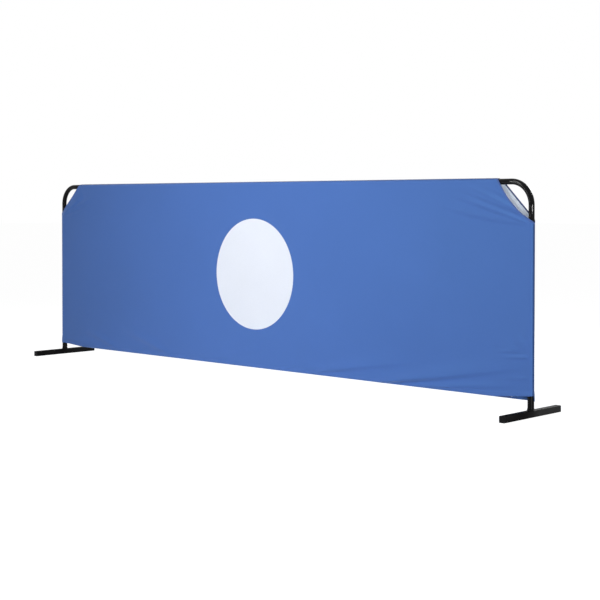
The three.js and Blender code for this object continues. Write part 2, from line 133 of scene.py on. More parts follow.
class Nodes:
    """A node tree that is built up node by node. An input is a plain value or another node's output."""

    def __init__(self, tree):
        self.nodes = tree.nodes
        self.links = tree.links

    def add(self, kind, inputs=None, **settings):
        node = self.nodes.new("ShaderNode" + kind)
        for key, value in settings.items():
            setattr(node, key, value)
        for key, value in (inputs or {}).items():
            if isinstance(value, bpy.types.NodeSocket):
                self.links.new(value, node.inputs[key])
            else:
                node.inputs[key].default_value = value
        return node

    def math(self, operation, first, second=0.0):
        return self.add("Math", {0: first, 1: second}, operation=operation).outputs[0]

    def noise(self, place, scale, detail=2.0, stretch=(1, 1, 1)):
        laid = self.add("Mapping", {"Vector": place, "Scale": stretch}).outputs[0]
        return self.add("TexNoise", {"Vector": laid, "Scale": scale, "Detail": detail}).outputs["Fac"]

    def ramp(self, value, start, stop, low=0.0, high=1.0, **settings):
        """Low up to the start, high from the stop on, and even between them."""
        inputs = {"Value": value, "From Min": start, "From Max": stop, "To Min": low, "To Max": high}
        return self.add("MapRange", inputs, **settings).outputs["Result"]

    def between(self, share, low, high):
        return self.ramp(share, 0.0, 1.0, low, high)

    def mix(self, share, first, second):
        inputs = {MIX_SHARE: share, MIX_FIRST: first, MIX_SECOND: second}
        return self.add("Mix", inputs, data_type="RGBA").outputs[MIX_COLOUR]

    def toned(self, colour, shade):
        """A colour made lighter or darker by a share."""
        start = colour if isinstance(colour, bpy.types.NodeSocket) else colour[:3]
        return self.add("VectorMath", {0: start, "Scale": shade}, operation="SCALE").outputs[0]

    def seen(self):
        """1 for the rays that show a thing itself: straight to the camera, in a mirror or through glass."""
        path = self.add("LightPath")
        mirrored = self.math("MAXIMUM", path.outputs["Is Camera Ray"], path.outputs["Is Glossy Ray"])
        return self.math("MAXIMUM", mirrored, path.outputs["Is Transmission Ray"])


class Finish(Nodes):
    """A material. Plain values go straight onto its shader."""

    def __init__(self, name, **values):
        self.material = bpy.data.materials.new(name)
        self.material.use_nodes = True
        super().__init__(self.material.node_tree)
        self.shader = self.nodes["Principled BSDF"]
        for socket, value in values.items():
            self.shader.inputs[socket.replace("_", " ")].default_value = value

    def bump(self, height, distance, strength, below=None):
        inputs = {"Height": height, "Distance": distance, "Strength": strength}
        if below is not None:
            inputs["Normal"] = below
        return self.add("Bump", inputs).outputs["Normal"]

    def drive(self, socket, value):
        self.links.new(value, self.shader.inputs[socket])

    def place(self):
        return self.add("TexCoord").outputs["Object"]


# Knit of the cloth: the widths of one column and of one row of stitches
WALE = 1.7 * MM
COURSE = 1.3 * MM

ROUNDEL_PLACE = (-7 * MM, 375 * MM, 0)
ROUNDEL_RADIUS = 196 * MM
ROUNDEL_EDGE = 0.4 * MM
ROUNDEL_FRAY = 0.25 * MM

# Where painted shade darkens the cloth on its way round a tube into a seam, and how much
SEAM_SHADE_START = QUARTER_WRAP * 0.50
SEAM_SHADE_END = QUARTER_WRAP * 0.80
SEAM_SHADE = 0.55


def cloth_finish(name, colour, roundel=False, **values):
    """Knitted cloth, laid out by its developed places, with painted shade. The roundel is printed on it."""
    finish = Finish(name, **values)
    laid = finish.add("UVMap", uv_map="cloth").outputs[0]
    across, up, _ = finish.add("SeparateXYZ", {0: laid}).outputs
    slant = finish.math("PINGPONG", across, WALE / 2)
    row = finish.math("MULTIPLY", finish.math("ADD", up, slant), math.pi / COURSE)
    column = finish.math("MULTIPLY", across, math.pi / WALE)
    loops = [finish.math("ABSOLUTE", finish.math("SINE", turn)) for turn in (row, column)]
    knit = finish.math("MULTIPLY", *loops)
    tone = finish.noise(laid, scale=3.2, detail=3.0)
    yarn = finish.noise(laid, scale=60, stretch=(1, 8, 1))
    uneven = finish.math("ADD", finish.between(tone, low=-0.05, high=0.05),
                         finish.between(yarn, low=-0.02, high=0.02))
    # The knit's gaps are painted darker and the crests of its loops lighter: painted shade in its grooves.
    shade = finish.math("ADD", uneven, finish.between(knit, low=0.955, high=1.03))
    dyed = colour
    if roundel:
        away = finish.add("VectorMath", {0: laid, 1: ROUNDEL_PLACE}, operation="DISTANCE").outputs["Value"]
        ragged = finish.math("ADD", away, finish.between(knit, -ROUNDEL_FRAY, ROUNDEL_FRAY))
        ink = finish.ramp(ragged, ROUNDEL_RADIUS - ROUNDEL_EDGE, ROUNDEL_RADIUS + ROUNDEL_EDGE, 1.0, 0.0)
        dyed = finish.mix(ink, colour, PRINT_WHITE)
    # Painted shade: the cloth is painted darker where it turns round a post or over the rail into a seam.
    past_post = finish.math("SUBTRACT", finish.math("ABSOLUTE", across), POST_PLACE)
    past_tube = finish.math("MAXIMUM", past_post, finish.math("SUBTRACT", up, RAIL_HEIGHT))
    darker = finish.ramp(past_tube, SEAM_SHADE_START, SEAM_SHADE_END, 1.0, SEAM_SHADE,
                         interpolation_type="SMOOTHSTEP")
    finish.drive("Base Color", finish.toned(dyed, finish.math("MULTIPLY", shade, darker)))
    finish.drive("Roughness", finish.between(tone, low=0.40, high=0.46))
    sag = finish.noise(laid, scale=9, stretch=(1, 2.4, 1))
    soft = finish.bump(sag, distance=1.4 * MM, strength=0.35)
    finish.drive("Normal", finish.bump(knit, distance=0.12 * MM, strength=0.35, below=soft))
    return finish.material


SATIN = {
    "Specular_IOR_Level": 0.30,
    "Specular_Tint": (0.2, 0.65, 1.0, 1),
    "Sheen_Weight": 0.06,
    "Sheen_Roughness": 0.5,
    "Sheen_Tint": (0.3, 0.75, 1.0, 1),
}
cloth_face = cloth_finish("printed cloth", BLUE, roundel=True, **SATIN)
cloth_back_face = cloth_finish("dyed cloth", BLUE, **SATIN)
cloth_inside = cloth_finish("cloth inside", PALE_BLUE, Specular_IOR_Level=0.3,
                            Sheen_Weight=0.7, Sheen_Roughness=0.5, Sheen_Tint=(0.5, 0.66, 1.0, 1),
                            Subsurface_Weight=1.0, Subsurface_Radius=(1, 1, 1), Subsurface_Scale=4.0 * MM)


# A wave texture of scale 1 repeats after this length
WAVE_REPEAT = 0.314


def woven_finish(name, colour, rib, **values):
    """Narrow woven tape and thread: ribs on the piece's own place, a slight change of tone, and painted
    shade between the ribs.
    """
    finish = Finish(name, **values)
    place = finish.place()
    wave = {"Vector": place, "Scale": WAVE_REPEAT / rib, "Distortion": 0.6}
    ribs = finish.add("TexWave", wave, bands_direction="DIAGONAL").outputs["Fac"]
    tone = finish.noise(place, scale=40, detail=3.0)
    # The furrows between ribs are painted darker and the ribs lighter: painted shade.
    shade = finish.math("ADD", finish.between(tone, low=0.86, high=1.12),
                        finish.between(ribs, low=-0.08, high=0.08))
    finish.drive("Base Color", finish.toned(colour, shade))
    finish.drive("Roughness", finish.between(ribs, low=0.72, high=0.88))
    finish.drive("Normal", finish.bump(ribs, distance=0.12 * MM, strength=0.5))
    return finish.material


# The back tapes and the seam ridges are navy, a darker copy of the blue cloth: painted shade along the
# back's cut edges and the seams.
edge_tape = woven_finish("edge tape", (0.026, 0.052, 0.19, 1), rib=0.7 * MM, Sheen_Weight=0.15)
front_tape = woven_finish("dyed edge tape", (0.066, 0.142, 0.43, 1), rib=0.7 * MM, Sheen_Weight=0.15)
thread = woven_finish("sewing thread", (0.075, 0.14, 0.42, 1), rib=0.35 * MM, Sheen_Weight=0.3)


def fuzzy_finish(name, colour, grain, depth):
    """Hook and loop tape: a close pile of points, with painted shade down between them."""
    finish = Finish(name, Specular_IOR_Level=0.2, Sheen_Weight=0.5, Sheen_Roughness=0.6)
    cells = {"Vector": finish.place(), "Scale": 1 / grain}
    pile = finish.add("TexVoronoi", cells, feature="F1").outputs["Distance"]
    # Painted shade: the points are painted lighter and the gaps between them darker.
    finish.drive("Base Color", finish.toned(colour, finish.between(pile, low=1.25, high=0.55)))
    finish.drive("Roughness", finish.between(pile, low=0.75, high=0.95))
    finish.drive("Normal", finish.bump(pile, distance=-depth, strength=0.8))
    return finish.material


loop_pile = fuzzy_finish("loop pile", (0.022, 0.042, 0.15, 1), grain=0.8 * MM, depth=0.3 * MM)
hook_pile = fuzzy_finish("hook pile", (0.016, 0.03, 0.11, 1), grain=1.3 * MM, depth=0.5 * MM)


WORN_PAINT = (0.006, 0.006, 0.007, 1)
RUBBED_MOST = 0.5


def paint_finish(name, colour, smoothest, roughest, **values):
    """Powder coat: orange peel, a faint dusty unevenness, and thinner paint on rubbed spots."""
    finish = Finish(name, **values)
    place = finish.place()
    peel = finish.noise(place, scale=420)
    dust = finish.noise(place, scale=14, detail=4.0)
    spots = finish.ramp(finish.noise(place, scale=55, detail=5.0), start=0.66, stop=0.74)
    rubbed = finish.math("MULTIPLY", spots, RUBBED_MOST)
    finish.drive("Base Color", finish.mix(rubbed, colour, WORN_PAINT))
    finish.drive("Roughness", finish.between(dust, smoothest, roughest))
    finish.drive("Normal", finish.bump(peel, distance=0.05 * MM, strength=0.10))
    return finish.material


gloss_black = paint_finish("gloss black powder coat", (0.0022, 0.0022, 0.0028, 1), 0.05, 0.09,
                           Specular_IOR_Level=0.11)
satin_black = paint_finish("satin black powder coat", (0.0018, 0.0018, 0.0021, 1), 0.40, 0.50,
                           Specular_IOR_Level=0.05)


def plastic_finish(name, colour, smoothest, roughest, grain, **values):
    """Moulded plastic with a fine spark-eroded grain."""
    finish = Finish(name, **values)
    place = finish.place()
    pits = finish.noise(place, scale=1 / grain, detail=3.0)
    tone = finish.noise(place, scale=30)
    finish.drive("Base Color", finish.toned(colour, finish.between(tone, low=0.85, high=1.15)))
    finish.drive("Roughness", finish.between(tone, smoothest, roughest))
    finish.drive("Normal", finish.bump(pits, distance=0.08 * MM, strength=0.3))
    return finish.material


black_plastic = plastic_finish("moulded black plastic", (0.004, 0.004, 0.0045, 1), 0.48, 0.62,
                               grain=0.6 * MM, Specular_IOR_Level=0.09)
sleeve_plastic = plastic_finish("smooth black sleeve", (0.0022, 0.0022, 0.0026, 1), 0.30, 0.42,
                                grain=0.9 * MM, Specular_IOR_Level=0.07)
washer_nylon = plastic_finish("black nylon", (0.004, 0.004, 0.0045, 1), 0.38, 0.48,
                              grain=1.2 * MM, Specular_IOR_Level=0.10)


def zinc_finish(name, colour, dull_colour):
    """Bright zinc plating, with faint turning marks and duller spots."""
    finish = Finish(name, Metallic=1.0)
    place = finish.place()
    marks = finish.noise(place, scale=500, stretch=(1, 1, 6))
    spots = finish.noise(place, scale=90, detail=3.0)
    finish.drive("Base Color", finish.mix(spots, dull_colour, colour))
    finish.drive("Roughness", finish.between(spots, low=0.24, high=0.42))
    finish.drive("Normal", finish.bump(marks, distance=0.02 * MM, strength=0.3))
    return finish.material


zinc = zinc_finish("zinc plating", (0.66, 0.67, 0.70, 1), (0.52, 0.53, 0.56, 1))

# Making a piece

# The angle in degrees past which an edge stays sharp
CLOTH_CREASE = 60
THREAD_CREASE = 80
TAPE_CREASE = 40
TUBE_CREASE = 50
MOULDED_CREASE = 35
SCREW_CREASE = 30


def finished(bm, name, materials, body, crease, stands_for=()):
    """Makes the mesh a named piece that rides on a body and stands for its CAD nodes."""
    mesh = bpy.data.meshes.new(name)
    bm.to_mesh(mesh)
    bm.free()
    for material in materials:
        mesh.materials.append(material)
    mesh.shade_smooth()
    mesh.set_sharp_from_angle(angle=math.radians(crease))
    piece = bpy.data.objects.new(name, mesh)
    bpy.context.scene.collection.objects.link(piece)
    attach(piece, body)
    if stands_for:
        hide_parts(*stands_for)
    return piece


def thickened(piece, name, thickness, **settings):
    """Gives an open mesh its thickness, inwards from its outer face."""
    wall = piece.modifiers.new(name, "SOLIDIFY")
    wall.thickness = thickness
    wall.offset = -1
    for key, value in settings.items():
        setattr(wall, key, value)
    return piece


def faces_out(bm):
    bmesh.ops.recalc_face_normals(bm, faces=bm.faces)


def welded(bm):
    bmesh.ops.remove_doubles(bm, verts=bm.verts, dist=SAME_POINT)


def moved(bm, verts, x=0.0, y=0.0, z=0.0):
    bmesh.ops.translate(bm, verts=verts, vec=(x, y, z))


def turned(bm, verts, angle, axis):
    bmesh.ops.rotate(bm, verts=verts, cent=(0, 0, 0), matrix=Matrix.Rotation(angle, 3, axis))


def drawn_out(bm, edges, x=0.0, y=0.0, z=0.0):
    """Draws edges out into a wall, and gives the edges at its far end."""
    made = bmesh.ops.extrude_edge_only(bm, edges=edges)["geom"]
    moved(bm, [part for part in made if isinstance(part, bmesh.types.BMVert)], x, y, z)
    return [part for part in made if isinstance(part, bmesh.types.BMEdge)]


# Cloth


def wrapped(place, tangent, radius):
    """Where a developed place comes to lie past a tube's tangent line, and its depth there."""
    past = np.maximum(np.abs(place) - tangent, 0)
    angle = past / CLOTH_INNER
    round_tube = np.sign(place) * (tangent + radius * np.sin(angle))
    return np.where(past > 0, round_tube, place), radius * np.cos(angle)


def smooth(share):
    """Rises from 0 to 1 as the share does, and starts and ends level."""
    held = np.clip(share, 0, 1)
    return held * held * (3 - 2 * held)


def flare(across, up):
    """How much wider the cloth stands near its hem at each post, where it passes over the collar."""
    beside = smooth((np.abs(across) - POST_PLACE + FLARE_REACH) / (FLARE_REACH - TUBE_RADIUS))
    return COLLAR_FLARE * beside * (1 - smooth((up - COLLAR_TOP) / FLARE_RUN))


def hem_height(across, facing):
    """Height of the hem's edge. It dips past the left post, then rises, most at the front's right end."""
    from_left = np.maximum(across + BARRIER_LENGTH / 2, 0)
    from_right = np.maximum(BARRIER_LENGTH / 2 - across, 0)
    level = HEM_AT_POST - HEM_DIP + HEM_RISE[facing] * from_left / BARRIER_LENGTH
    level = level + HEM_DIP * (1 - smooth(from_left / HEM_DIP_RUN))
    if facing < 0:
        level = level + HEM_PULL * np.maximum(1 - from_right / HEM_PULL_RUN, 0) ** HEM_PULL_CURVE
    return level


def corner_cut(side, facing, set_back, samples=EDGE_SAMPLES):
    """Developed places along a corner's cut edge, from the top seam to the seam outside the post."""
    reach, drop = CORNER_CUTS[side]
    along = SEAM_ACROSS - (BARRIER_LENGTH / 2 - reach)
    down = SEAM_UP - (BARRIER_HEIGHT - drop)
    slant = set_back * math.hypot(1 / along, 1 / down)
    start = np.array([side * (SEAM_ACROSS - along * (1 + slant)), SEAM_UP])
    end = np.array([side * SEAM_ACROSS, SEAM_UP - down * (1 + slant)])
    inward = np.array([-side * down, -along]) / math.hypot(down, along)
    bow = FRONT_CUT_BOW[side] if facing < 0 else 0.0
    share = np.linspace(0, 1, samples)[:, None]
    return start + (end - start) * share + inward * bow * np.sin(np.pi * share)


# Drag folds of the front and of the back: where each starts and ends (x, z), how far it bows upwards,
# its lift, its width above and below the crest, all in millimetres, and the share of its length at which
# it is highest
FRONT_FOLDS = [
    (290, 53, 740, 128, 3, 6.0, 26, 8, 0.30),
    (575, 48, 1190, 156, -3, 9.6, 30, 8, 0.22),
    (720, 50, 1130, 91, -2, 3.6, 14, 5, 0.34),
    (200, 46, 460, 94, 3, 2.0, 14, 6, 0.40),
    (1055, 104, 1176, 116, 0, 1.4, 7, 4, 0.60),
    (1010, 201, 1190, 213, 0, 3.4, 7, 3.2, 0.66),
    (1020, 184, 1190, 196, 0, 3.6, 6, 3.2, 0.66),
    (1040, 167, 1190, 178, 0, 3.4, 6, 3.2, 0.66),
    (1080, 222, 1190, 230, 0, 2.8, 6, 3.2, 0.62),
    (1100, 241, 1190, 248, 0, 2.2, 6, 3.2, 0.60),
    (1185, 576, 905, 686, 3, 3.2, 9, 4.2, 0.40),
    (1185, 574, 905, 668, 2, 2.9, 8, 4.2, 0.42),
    (1170, 562, 850, 657, 2, 3.0, 9, 4.6, 0.40),
    (1160, 596, 985, 684, 5, 1.6, 7, 4.0, 0.42),
    (1180, 560, 780, 628, -6, 2.2, 14, 7.0, 0.46),
    (-1165, 572, -1010, 654, -2, 7.0, 34, 6.0, 0.50),
    (-1154, 576, -930, 652, -3, 3.8, 12, 6.0, 0.38),
    (-1154, 566, -960, 600, -3, 2.0, 16, 8.0, 0.40),
    (-440, 44, -760, 128, 4, 4.2, 20, 9, 0.42),
    (-780, 46, -1000, 104, 4, 3.4, 18, 8, 0.42),
    (-1150, 62, -880, 46, 4, 2.6, 16, 8, 0.40),
    (-290, 48, 60, 116, 2, 1.3, 16, 8, 0.50),
]
BACK_FOLDS = [
    (-420, 44, -1000, 122, -4, 2.4, 26, 10, 0.40),
    (-700, 42, -1150, 108, -4, 2.0, 20, 8, 0.40),
    (430, 46, 960, 112, 4, 2.2, 24, 10, 0.42),
    (720, 46, 1150, 128, -4, 1.7, 18, 8, 0.42),
    (-1152, 580, -900, 668, 5, 1.4, 9, 4.5, 0.42),
    (-1152, 576, -840, 640, 4, 1.1, 9, 4.5, 0.42),
    (-1152, 570, -880, 596, -8, 0.8, 10, 5.0, 0.40),
    (1152, 578, 900, 672, 5, 1.4, 9, 4.5, 0.42),
    (1152, 574, 830, 645, 3, 1.1, 9, 4.5, 0.42),
    (1152, 568, 880, 598, -8, 0.8, 10, 5.0, 0.40),
    (-60, 46, 320, 96, 3, 0.6, 18, 8, 0.50),
]
TUBE_MARGIN = 15 * MM
FOLD_FADE = 2.2
FOLD_START_WIDTH = 0.45
FOLD_END_MARGIN = 1e-6


def fold_lift(across, up, fold):
    """How far one fold lifts the cloth at each place. A fold widens over the first half of its length."""
    from_x, from_z, to_x, to_z, bow, lift, above, below = (value * MM for value in fold[:8])
    peak = fold[8]
    run = np.array([to_x - from_x, to_z - from_z])
    length = math.hypot(*run)
    share = ((across - from_x) * run[0] + (up - from_z) * run[1]) / length ** 2
    held = np.clip(share, FOLD_END_MARGIN, 1 - FOLD_END_MARGIN)
    side = 1 if run[0] > 0 else -1
    away = side * ((up - from_z) * run[0] - (across - from_x) * run[1]) / length
    away = away - bow * 4 * held * (1 - held)
    widening = FOLD_START_WIDTH + (1 - FOLD_START_WIDTH) * smooth(held * 2.0)
    width = np.where(away > 0, above, below) * widening
    fade = (held / peak) ** (FOLD_FADE * peak) * ((1 - held) / (1 - peak)) ** (FOLD_FADE * (1 - peak))
    return lift * fade * np.exp(-((away / width) ** 2)) * ((share > 0) & (share < 1))


SLACK_SEEDS = {-1: 7, 1: 8}
SLACK_WAVES = 9
SLACK_LENGTHS = (180 * MM, 600 * MM)
SLACK_LIFT = 0.10 * MM
SLACK_DEEPEST = -0.2 * MM


def slack(across, up, seed):
    """Very slight unevenness of a cloth that is stretched by hand."""
    waves = np.random.default_rng(seed)
    total = np.zeros_like(across)
    for _ in range(SLACK_WAVES):
        length, turn = waves.uniform(*SLACK_LENGTHS), waves.uniform(0, math.pi)
        shift = waves.uniform(0, 2 * math.pi)
        run = across * math.cos(turn) + up * math.sin(turn)
        total = total + np.sin(run * 2 * math.pi / length + shift)
    return total * SLACK_LIFT


def cloth_lift(across, up, facing):
    """How far the cloth stands off its stretched plane: folds, slack, hem band, stitches and roll."""
    folds = FRONT_FOLDS if facing < 0 else BACK_FOLDS
    lift = sum(fold_lift(across, up, fold) for fold in folds)
    lift = lift + np.maximum(slack(across, up, SLACK_SEEDS[facing]), SLACK_DEEPEST)
    free = smooth((POST_PLACE - np.abs(across)) / TUBE_MARGIN) * smooth((RAIL_HEIGHT - up) / TUBE_MARGIN)
    over_hem = up - hem_height(across, facing)
    band_end = 1 - smooth((over_hem - HEM_BAND) / HEM_BAND_FADE)
    band = HEM_PROUD * band_end * smooth(over_hem / HEM_EDGE_RUN + HEM_EDGE_START)
    dent = STITCH_DENT * np.exp(-(((over_hem - HEM_BAND + STITCH_INSET) / STITCH_DENT_WIDTH) ** 2))
    beside = smooth((POST_PLACE - FLARE_REACH - np.abs(across)) / TUBE_MARGIN)
    roll = HEM_ROLL * beside * (1 - smooth(over_hem / HEM_ROLL_HEIGHT))
    return lift * free + band - dent - roll


def on_cloth(across, up, facing, proud=0.0):
    """Points on the outside of the cover. proud is how far they stand off it."""
    across, up = np.asarray(across, float), np.asarray(up, float)
    layer = CLOTH_OUTER + proud + flare(across, up)
    x, side_depth = wrapped(across, POST_PLACE, layer)
    z, top_depth = wrapped(up, RAIL_HEIGHT, layer)
    depth = np.minimum(side_depth, top_depth) + cloth_lift(across, up, facing)
    return np.stack([x, facing * depth, z], -1)


def columns(facing):
    """Developed places of the cloth's columns, and the upper edge of each."""
    fine = np.arange(POST_PLACE - FINE_RUN, POST_PLACE, FINE_STEP)
    wrap = POST_PLACE + QUARTER_WRAP * np.arange(1, WRAP_STEPS + 1) / WRAP_STEPS
    coarse = np.linspace(-fine[0], fine[0], round(2 * fine[0] / COARSE_STEP) + 1)[1:-1]
    cuts = {side: corner_cut(side, facing, TAPE_WIDTH / 2) for side in (-1, 1)}
    starts = [cuts[-1][0, 0], cuts[1][0, 0]]
    across = np.unique(np.round(np.concatenate([-wrap, -fine, coarse, fine, wrap, starts]), PLACE_DIGITS))
    apart = np.abs(across[:, None] - np.array(starts)[None, :])
    near = (apart < FINE_STEP / 3).any(1) & (apart > SAME_PLACE).all(1)
    across = across[~near]
    top = np.full(len(across), SEAM_UP)
    for side, cut in cuts.items():
        order = np.argsort(cut[:, 0])
        past = across * side > cut[0, 0] * side
        top = np.where(past, np.interp(across, cut[order, 0], cut[order, 1]), top)
    return across, top


def row_shares(begin):
    """Where the body's rows lie, as shares of the way from the hem's rows to the turn over the rail."""
    rise = RAIL_HEIGHT - QUARTER_WRAP
    low = np.arange(FINE_STEP, FINE_ROWS_BELOW, FINE_STEP)
    high = rise - HEM_AT_POST - begin - np.arange(FINE_ROWS_ABOVE, 0, -FINE_STEP)
    middle = np.linspace(low[-1], high[0], round((high[0] - low[-1]) / COARSE_STEP) + 1)[1:-1]
    body = np.concatenate([low, middle, high])
    return np.append(body, rise - HEM_AT_POST - begin) / (rise - HEM_AT_POST - begin)


def laid_out(bm, place_of):
    """Gives each corner of each face its developed place, which the cloth's finish reads."""
    laid = bm.loops.layers.uv.new("cloth")
    for face in bm.faces:
        for loop in face.loops:
            loop[laid].uv = place_of(loop.vert)


def cloth_layer(name, facing, stands_for, materials):
    """One layer of the cover. Gives the piece, the size of its flat blank and its developed area."""
    across, top = columns(facing)
    hem = hem_height(across, facing)
    body_top = top - QUARTER_WRAP
    begin = HEM_ROWS[-1]
    rows = [hem + d for d in HEM_ROWS]
    rows += [hem + begin + (body_top - hem - begin) * share for share in row_shares(begin)]
    rows += [body_top + QUARTER_WRAP * step / WRAP_STEPS for step in range(1, WRAP_STEPS + 1)]
    rows = np.array(rows)
    places = np.broadcast_to(across, rows.shape)
    points = on_cloth(places, rows, facing).reshape(-1, 3)
    developed = np.stack([places, rows], -1).reshape(-1, 2)
    bm = bmesh.new()
    bmesh.ops.create_grid(bm, x_segments=len(across) - 1, y_segments=len(rows) - 1, size=0.5)
    bm.verts.ensure_lookup_table()
    for vert, point in zip(bm.verts, points):
        vert.co = point
    laid_out(bm, lambda vert: developed[vert.index])
    turned_in = len(across) * sum(d < HEM_BAND for d in HEM_ROWS)
    for face in bm.faces:
        if all(vert.index <= turned_in for vert in face.verts):
            face.material_index = 1
    if facing > 0:
        bmesh.ops.reverse_faces(bm, faces=bm.faces)
    piece = finished(bm, name, materials, "frame", CLOTH_CREASE, stands_for)
    thickened(piece, "cloth thickness", CLOTH_THICKNESS, material_offset=2, material_offset_rim=0)
    area = float((np.gradient(across) * (top - hem)).sum())
    return piece, (float(across[-1] - across[0]), float(SEAM_UP - hem.min() + HEM_BAND)), area


front_cloth, front_flat, front_area = cloth_layer(
    "front_cloth", -1, ["cover_front"], [cloth_face, cloth_face, cloth_inside, cloth_back_face])
back_cloth, back_flat, back_area = cloth_layer(
    "back_cloth", 1, ["cover_back"], [cloth_back_face, cloth_back_face, cloth_inside, cloth_back_face])

# Edge tapes: folded over the cut edges of the cloth

TAPE_SECTION = 14
TAPE_COLUMNS = 72

# Powers that flatten the round section of a tape, across it and through it
FLAT_ACROSS = 0.45
FLAT_THROUGH = 0.6


def flattened(wave, power):
    return math.copysign(abs(wave) ** power, wave)


def edge_tape_piece(hand, side, facing):
    """A tape folded over a cut edge. Its section is a flattened ring of points at each column."""
    word = "front" if facing < 0 else "back"
    outer = corner_cut(side, facing, 0, TAPE_COLUMNS)
    inner = corner_cut(side, facing, TAPE_WIDTH + TAPE_LAP, TAPE_COLUMNS)
    bm = bmesh.new()
    bmesh.ops.create_grid(bm, x_segments=TAPE_COLUMNS - 1, y_segments=TAPE_SECTION, size=0.5)
    bm.verts.ensure_lookup_table()
    for vert in bm.verts:
        row, column = divmod(vert.index, TAPE_COLUMNS)
        turn = 2 * math.pi * row / TAPE_SECTION
        across_share = 0.5 + 0.5 * flattened(math.cos(turn), FLAT_ACROSS)
        through = flattened(math.sin(turn), FLAT_THROUGH)
        place = inner[column] + (outer[column] - inner[column]) * across_share
        proud = (through * TAPE_THICKNESS - CLOTH_THICKNESS) / 2
        vert.co = on_cloth(place[0], place[1], facing, proud)
    welded(bm)
    bmesh.ops.holes_fill(bm, edges=[edge for edge in bm.edges if edge.is_boundary], sides=TAPE_SECTION)
    faces_out(bm)
    name = f"{hand}_{word}_edge_tape"
    material = front_tape if facing < 0 else edge_tape
    return finished(bm, name, [material], "frame", CLOTH_CREASE, [f"{hand}_{word}_binding"])


SIDES = (("left", -1), ("right", 1))
tapes = {(side, facing): edge_tape_piece(hand, side, facing) for hand, side in SIDES for facing in (-1, 1)}

# Stitches: short beads of thread, laid along lines on the cloth

STITCH_LENGTH = 2.4 * MM
STITCH_PITCH = 3.6 * MM
THREAD_RADIUS = 0.21 * MM
TAPE_STITCH_INSET = 0.8 * MM
HEM_LINE_POINTS = 1400
SEAM_CLEARANCE = 1 * MM
NEARBY = 0.5 * MM


def sewn(name, rows, proud=0.0):
    """One piece of many stitches. Each row is a line of points on the cloth and the way out at each."""

    def at_run(run, length, values):
        return Vector([float(np.interp(length, run, values[:, k])) for k in range(3)])

    bm = bmesh.new()
    for line, outward in rows:
        steps = np.linalg.norm(np.diff(line, axis=0), axis=1)
        run = np.concatenate([[0], np.cumsum(steps)])
        for at in np.arange(STITCH_PITCH / 2, run[-1], STITCH_PITCH):
            middle = at_run(run, at, line)
            up = at_run(run, at, outward).normalized()
            along = (at_run(run, at + THREAD_RADIUS, line) - middle).normalized()
            across = up.cross(along).normalized()
            turn = Matrix((along, across, up)).transposed().to_4x4()
            size = Matrix.Diagonal((STITCH_LENGTH / 2, THREAD_RADIUS, THREAD_RADIUS, 1))
            place = Matrix.Translation(middle + up * proud) @ turn @ size
            bmesh.ops.create_icosphere(bm, subdivisions=1, radius=1, matrix=place)
    return finished(bm, name, [thread], "frame", THREAD_CREASE)


def cloth_line(places, facing):
    """The points of a line of developed places on the cloth, and the way out from it at each."""
    across, up = places[:, 0], places[:, 1]
    here = on_cloth(across, up, facing)
    beside = on_cloth(across + NEARBY, up, facing) - here
    above = on_cloth(across, up + NEARBY, facing) - here
    normal = np.cross(beside, above)
    return here, -facing * normal / np.linalg.norm(normal, axis=1, keepdims=True)


def hem_line(facing, height):
    across = np.linspace(-SEAM_ACROSS + SEAM_CLEARANCE, SEAM_ACROSS - SEAM_CLEARANCE, HEM_LINE_POINTS)
    return cloth_line(np.stack([across, hem_height(across, facing) + height], -1), facing)


FACINGS = ((-1, "front"), (1, "back"))
hem_stitches = {
    facing: sewn(f"{word}_hem_stitches", [hem_line(facing, HEM_BAND - STITCH_INSET)])
    for facing, word in FACINGS
}
tape_stitches = {
    (side, facing): sewn(
        f"{hand}_{word}_tape_stitches",
        [cloth_line(corner_cut(side, facing, TAPE_WIDTH - TAPE_STITCH_INSET), facing)],
        (TAPE_THICKNESS - CLOTH_THICKNESS) / 2,
    )
    for hand, side in SIDES for facing, word in FACINGS
}

# Seam allowance of the cover: a thin overlocked ridge where the layers meet, up each side and along the top

RIDGE_RADIUS = 0.55 * MM
RIDGE_SIDES = 6
SIDE_SEAM_POINTS = 90
TOP_SEAM_POINTS = 160


def seam_ridge(name, line):
    """A thin bar drawn out along a line of points."""
    bm = bmesh.new()
    ring = bmesh.ops.create_circle(bm, segments=RIDGE_SIDES, radius=RIDGE_RADIUS, cap_ends=True)["verts"]
    along = Vector(line[1] - line[0]).normalized()
    turn = along.to_track_quat("Z", "Y").to_matrix()
    bmesh.ops.rotate(bm, verts=ring, cent=(0, 0, 0), matrix=turn)
    moved(bm, ring, *line[0])
    end = bm.faces[:]
    for here, after in zip(line, line[1:]):
        end = bmesh.ops.extrude_discrete_faces(bm, faces=end)["faces"]
        moved(bm, list(end[0].verts), *(after - here))
    faces_out(bm)
    # The ridge takes the navy tape: painted shade along the seam.
    return finished(bm, name, [edge_tape], "frame", CLOTH_CREASE)


def seam_line(side):
    """Along the top seam for side 0, or up the seam of that side from the hem to the cut."""
    if side:
        top = corner_cut(side, -1, TAPE_WIDTH)[-1, 1]
        bottom = float(hem_height(side * SEAM_ACROSS, -1)) + SEAM_CLEARANCE
        up = np.linspace(bottom, top, SIDE_SEAM_POINTS)
        across = np.full(SIDE_SEAM_POINTS, side * SEAM_ACROSS)
    else:
        left, right = (corner_cut(end, -1, TAPE_WIDTH)[0, 0] for end in (-1, 1))
        across = np.linspace(left, right, TOP_SEAM_POINTS)
        up = np.full(TOP_SEAM_POINTS, SEAM_UP)
    front, back = on_cloth(across, up, -1), on_cloth(across, up, 1)
    return (front + back) / 2


ridges = [seam_ridge(name, seam_line(side))
          for name, side in (("left_seam", -1), ("top_seam", 0), ("right_seam", 1))]

# Closure under the lower rail

